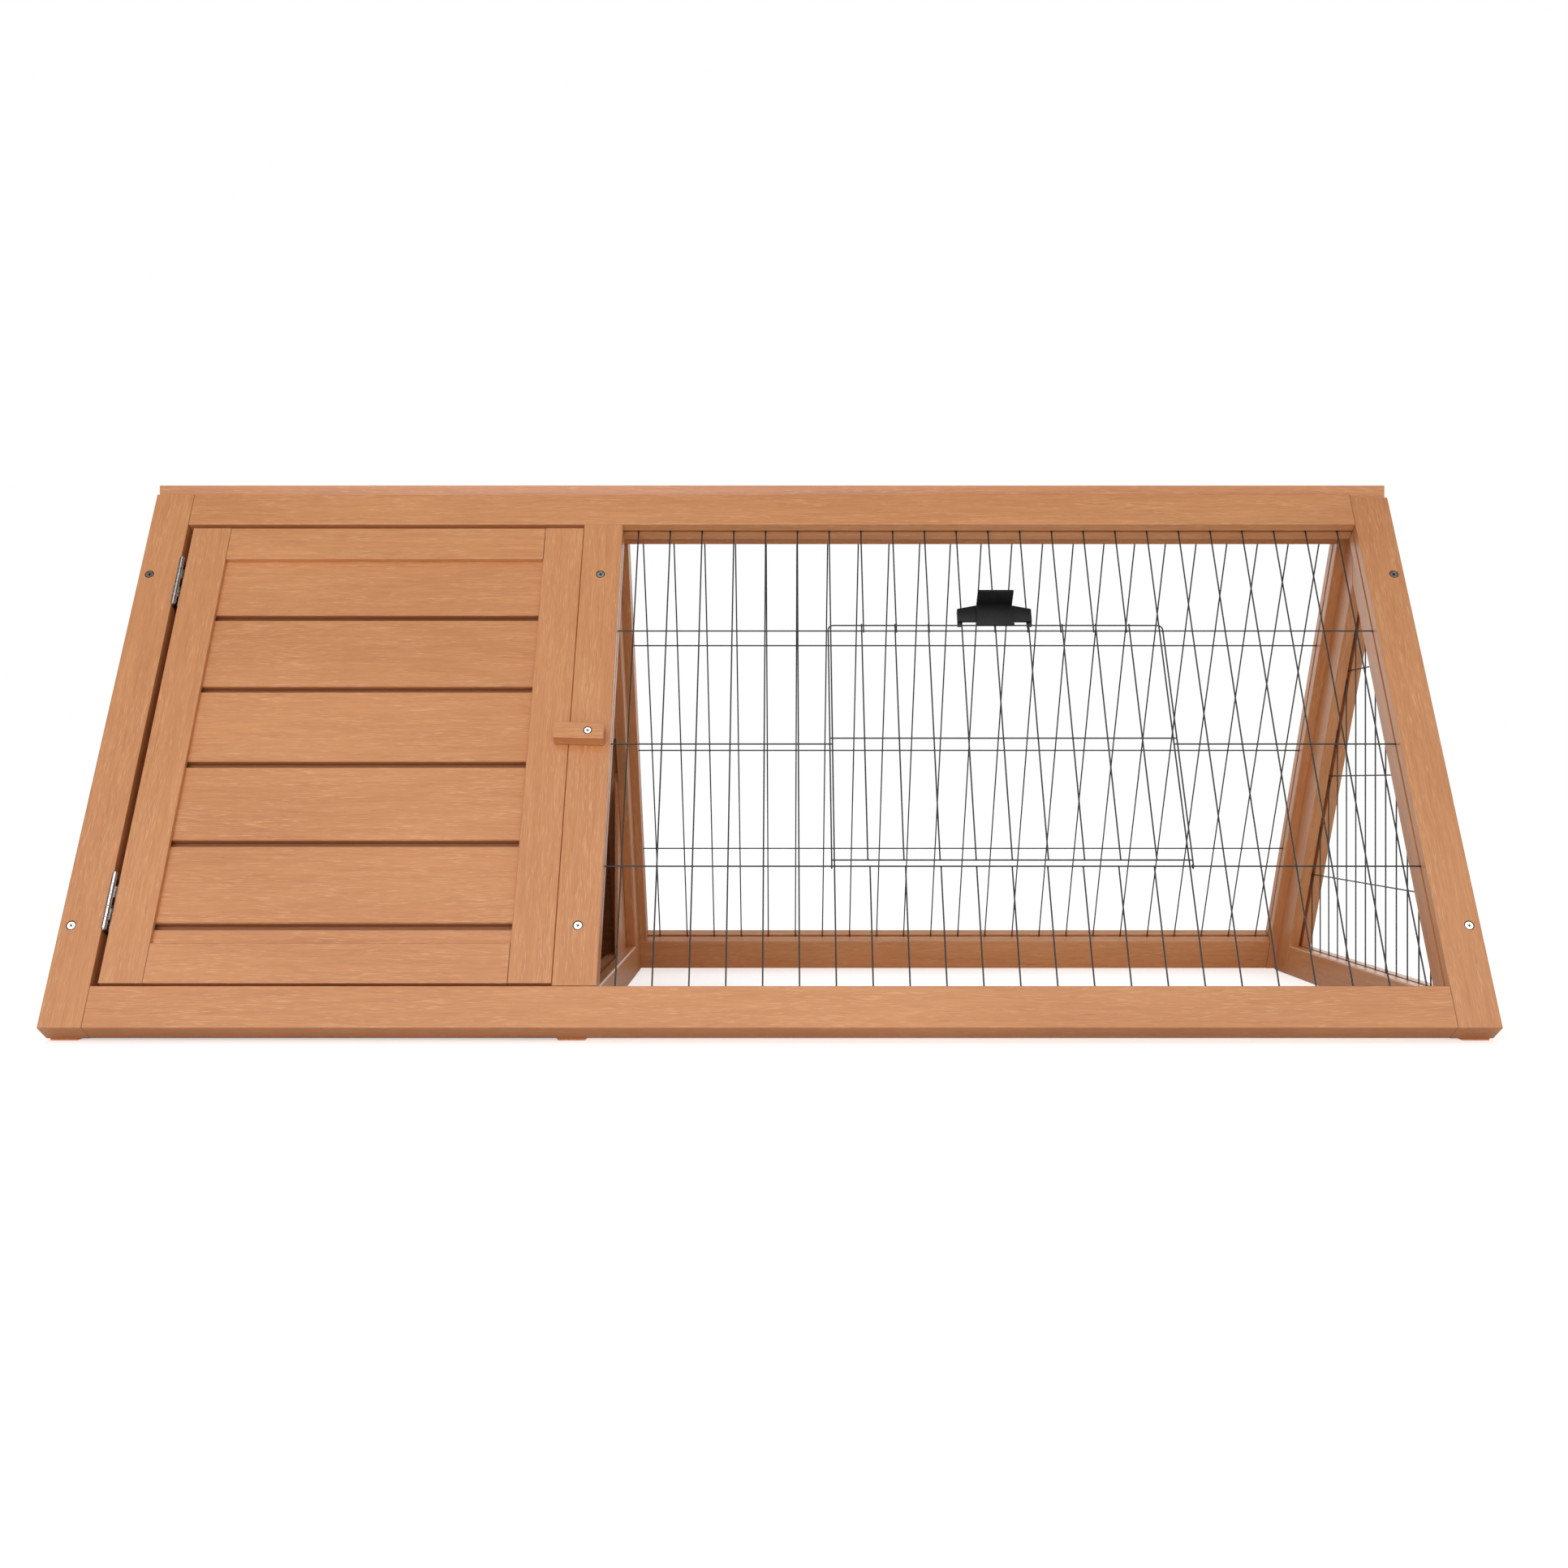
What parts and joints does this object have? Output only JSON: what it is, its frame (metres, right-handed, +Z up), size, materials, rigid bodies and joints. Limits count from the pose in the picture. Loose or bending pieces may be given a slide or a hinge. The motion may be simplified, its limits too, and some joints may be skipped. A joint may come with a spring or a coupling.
{
  "type": "outdoor rabbit run",
  "caption": "Triangular timber rabbit run with a boarded shelter at one end, wire mesh sides, a hinged wood door and a fold-down wire door.",
  "frame": {"origin": "centre of the footprint, on the ground", "axes": "+X along the ridge from the boarded shelter towards the open mesh end, +Y from the door side towards the rear, +Z up"},
  "size_m": [1.18, 0.5868, 0.4968],
  "materials": {
    "frame_wood": "stained softwood, satin",
    "board_wood": "stained softwood boards, satin",
    "panel_wood": "stained plywood, matt",
    "wire": "dark coated wire",
    "latch_plastic": "moulded, fine grain",
    "hinge_metal": "bright zinc plated",
    "screw_metal": "zinc plated"
  },
  "bodies": {
    "root": {"divider_foot_rail": "frame_wood", "divider_front_leg": "frame_wood", "divider_front_panel": "panel_wood", "divider_rear_leg": "frame_wood", "divider_rear_panel": "panel_wood", "divider_top_panel": "panel_wood", "front_bottom_rail": "frame_wood", "front_left_lower_screw": "screw_metal", "front_left_stile": "frame_wood", "front_left_upper_screw": "screw_metal", "front_mesh": "wire", "front_mid_lower_screw": "screw_metal", "front_mid_stile": "frame_wood", "front_mid_upper_screw": "screw_metal", "front_right_lower_screw": "screw_metal", "front_right_stile": "frame_wood", "front_right_upper_screw": "screw_metal", "front_top_rail": "frame_wood", "left_boards": "board_wood", "left_foot_rail": "frame_wood", "left_front_leg": "frame_wood", "left_rear_leg": "frame_wood", "lower_hinge_frame_leaf": "hinge_metal", "lower_hinge_pin": "hinge_metal", "rear_boards": "board_wood", "rear_bottom_rail": "frame_wood", "rear_left_lower_screw": "screw_metal", "rear_left_stile": "frame_wood", "rear_left_upper_screw": "screw_metal", "rear_mesh": "wire", "rear_mid_lower_screw": "screw_metal", "rear_mid_stile": "frame_wood", "rear_mid_upper_screw": "screw_metal", "rear_right_lower_screw": "screw_metal", "rear_right_stile": "frame_wood", "rear_right_upper_screw": "screw_metal", "rear_top_rail": "frame_wood", "ridge_batten": "frame_wood", "right_foot_rail": "frame_wood", "right_front_leg": "frame_wood", "right_mesh": "wire", "right_rear_leg": "frame_wood", "turn_button_screw": "screw_metal", "upper_hinge_frame_leaf": "hinge_metal", "upper_hinge_pin": "hinge_metal"},
    "wood_door": {"door_board_1": "board_wood", "door_board_2": "board_wood", "door_board_3": "board_wood", "door_board_4": "board_wood", "door_board_5": "board_wood", "door_board_6": "board_wood", "door_bottom_rail": "frame_wood", "door_hinge_stile": "frame_wood", "door_latch_stile": "frame_wood", "door_top_rail": "frame_wood", "lower_hinge_door_leaf": "hinge_metal", "upper_hinge_door_leaf": "hinge_metal"},
    "turn_button": {"turn_button": "frame_wood"},
    "wire_door": {"wire_door": "wire"},
    "latch": {"wire_door_latch": "latch_plastic"}
  },
  "joints": [
    {"name": "wood_door_hinge", "type": "hinge", "parent": "root", "child": "wood_door", "pos_m": [-0.552, -0.15831, 0.25081], "axis": [0, -0.5, -0.866], "range_deg": [0, 175]},
    {"name": "turn_button_pivot", "type": "hinge", "parent": "root", "child": "turn_button", "pos_m": [-0.1605, -0.15701, 0.25006], "axis": [0, -0.866, 0.5], "continuous": true},
    {"name": "wire_door_hinge", "type": "hinge", "parent": "root", "child": "wire_door", "pos_m": [0.20623, -0.20829, 0.1389], "axis": [1, 0, 0], "range_deg": [0, 140]},
    {"name": "latch_slide", "type": "slide", "parent": "root", "child": "latch", "axis": [0, 0.5, 0.866], "range_m": [0, 0.02]}
  ]
}
